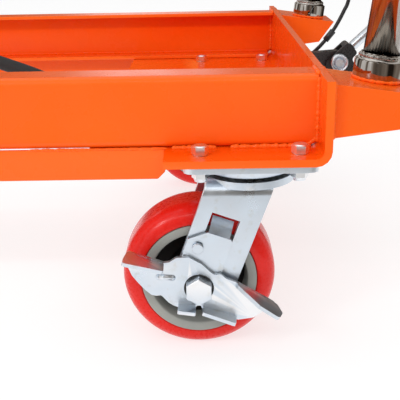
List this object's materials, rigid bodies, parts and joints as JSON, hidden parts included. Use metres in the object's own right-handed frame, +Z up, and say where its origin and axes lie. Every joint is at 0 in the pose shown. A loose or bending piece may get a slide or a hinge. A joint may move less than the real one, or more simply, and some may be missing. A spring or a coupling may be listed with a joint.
{
  "type": "wheel dolly",
  "caption": "Push-handle dolly chassis: welded orange channel frame on braked swivel and fixed casters, with a chromed U handle, foot pump pedal and finger release.",
  "frame": {"origin": "on the floor under the middle of the whole dolly's bounding box, pedal, brakes and hand lever included", "axes": "+X towards the handle end, +Y to the right of a person who pushes from the handle end (the brake pedals are on the other side of each rear caster), +Z up"},
  "size_m": [1.0419, 0.5301, 0.9543],
  "materials": {
    "orange_powder_coat": "glossy orange powder coat on welded steel",
    "chrome_plate": "bright chrome plate",
    "zinc_plate": "bright zinc-plated pressed steel",
    "plain_steel": "ground steel",
    "painted_iron": "grey painted cast iron",
    "red_polyurethane": "glossy red cast polyurethane",
    "black_paint": "black paint on steel",
    "black_rubber": "black moulded rubber",
    "black_cable": "black plastic cable sheath"
  },
  "bodies": {
    "chassis": {"left_rail": "orange_powder_coat", "right_rail": "orange_powder_coat", "left_skirt": "orange_powder_coat", "right_skirt": "orange_powder_coat", "rear_cross_plate": "orange_powder_coat", "front_cross_plate": "orange_powder_coat", "left_arm": "orange_powder_coat", "right_arm": "orange_powder_coat", "left_collar": "chrome_plate", "right_collar": "chrome_plate", "handle_tube": "chrome_plate", "pump_body": "black_paint", "pedal_bolt": "zinc_plate", "hydraulic_hose": "black_rubber", "hose_coupler": "plain_steel", "release_cable": "black_cable", "lever_clamp": "black_paint", "hand_lever_pin": "zinc_plate", "left_rear_top_plate": "zinc_plate", "left_rear_kingpin": "zinc_plate", "left_rear_ball_ring": "plain_steel", "right_rear_top_plate": "zinc_plate", "right_rear_kingpin": "zinc_plate", "right_rear_ball_ring": "plain_steel", "left_front_fork": "zinc_plate", "left_front_axle_bolt": "zinc_plate", "left_front_axle_nut": "zinc_plate", "right_front_fork": "zinc_plate", "right_front_axle_bolt": "zinc_plate", "right_front_axle_nut": "zinc_plate"},
    "left_swivel": {"left_rear_fork": "zinc_plate", "left_rear_axle_bolt": "zinc_plate", "left_rear_axle_nut": "zinc_plate", "left_rear_brake_screw": "zinc_plate"},
    "right_swivel": {"right_rear_fork": "zinc_plate", "right_rear_axle_bolt": "zinc_plate", "right_rear_axle_nut": "zinc_plate", "right_rear_brake_screw": "zinc_plate"},
    "left_rear_wheel": {"left_rear_tread": "red_polyurethane", "left_rear_wheel_core": "painted_iron", "left_rear_bearing": "plain_steel"},
    "right_rear_wheel": {"right_rear_tread": "red_polyurethane", "right_rear_wheel_core": "painted_iron", "right_rear_bearing": "plain_steel"},
    "left_front_wheel": {"left_front_tread": "red_polyurethane", "left_front_wheel_core": "painted_iron", "left_front_bearing": "plain_steel"},
    "right_front_wheel": {"right_front_tread": "red_polyurethane", "right_front_wheel_core": "painted_iron", "right_front_bearing": "plain_steel"},
    "left_brake": {"left_rear_brake_lever": "zinc_plate"},
    "right_brake": {"right_rear_brake_lever": "zinc_plate"},
    "left_shoe": {"left_rear_brake_plate": "zinc_plate"},
    "right_shoe": {"right_rear_brake_plate": "zinc_plate"},
    "pedal": {"pedal_lever": "black_paint", "pedal_rod": "zinc_plate", "pedal_tread": "black_rubber"},
    "piston": {"pump_piston": "plain_steel"},
    "release": {"hand_lever": "black_paint"}
  },
  "joints": [
    {"name": "left_swivel_turn", "type": "hinge", "parent": "chassis", "child": "left_swivel", "pos_m": [0.2025, -0.199, 0.15], "axis": [0, 0, 1], "continuous": true},
    {"name": "right_swivel_turn", "type": "hinge", "parent": "chassis", "child": "right_swivel", "pos_m": [0.2025, 0.213, 0.15], "axis": [0, 0, 1], "continuous": true},
    {"name": "left_rear_wheel_spin", "type": "hinge", "parent": "left_swivel", "child": "left_rear_wheel", "pos_m": [0.1615, -0.199, 0.0635], "axis": [0, 1, 0], "continuous": true},
    {"name": "right_rear_wheel_spin", "type": "hinge", "parent": "right_swivel", "child": "right_rear_wheel", "pos_m": [0.1615, 0.213, 0.0635], "axis": [0, 1, 0], "continuous": true},
    {"name": "left_front_wheel_spin", "type": "hinge", "parent": "chassis", "child": "left_front_wheel", "pos_m": [-0.4575, -0.199, 0.0635], "axis": [0, 1, 0], "continuous": true},
    {"name": "right_front_wheel_spin", "type": "hinge", "parent": "chassis", "child": "right_front_wheel", "pos_m": [-0.4575, 0.213, 0.0635], "axis": [0, 1, 0], "continuous": true},
    {"name": "left_brake_pedal", "type": "hinge", "parent": "left_swivel", "child": "left_brake", "pos_m": [0.1615, -0.199, 0.0635], "axis": [0, 1, 0], "range_deg": [-28, 0]},
    {"name": "right_brake_pedal", "type": "hinge", "parent": "right_swivel", "child": "right_brake", "pos_m": [0.1615, 0.213, 0.0635], "axis": [0, 1, 0], "range_deg": [-28, 0]},
    {"name": "left_shoe_slide", "type": "slide", "parent": "left_swivel", "child": "left_shoe", "axis": [-0.342, 0, -0.9397], "range_m": [0, 0.001]},
    {"name": "right_shoe_slide", "type": "slide", "parent": "right_swivel", "child": "right_shoe", "axis": [-0.342, 0, -0.9397], "range_m": [0, 0.001]},
    {"name": "pedal_stroke", "type": "hinge", "parent": "chassis", "child": "pedal", "pos_m": [0.307, 0.007, 0.201], "axis": [0, 1, 0], "range_deg": [0, 25], "stiffness_Nm_per_rad": 2, "springref_deg": -22.92},
    {"name": "piston_slide", "type": "slide", "parent": "chassis", "child": "piston", "axis": [0, 0, -1], "range_m": [0, 0.0055]},
    {"name": "release_squeeze", "type": "hinge", "parent": "chassis", "child": "release", "pos_m": [0.3902, 0.037, 0.911], "axis": [0, 1, 0], "range_deg": [-12, 0]}
  ],
  "couplings": [
    {"joint": "left_shoe_slide", "follows": "left_brake_pedal", "m_per_rad": -0.00202},
    {"joint": "right_shoe_slide", "follows": "right_brake_pedal", "m_per_rad": -0.00202},
    {"joint": "piston_slide", "follows": "pedal_stroke", "m_per_rad": 0.0125}
  ]
}
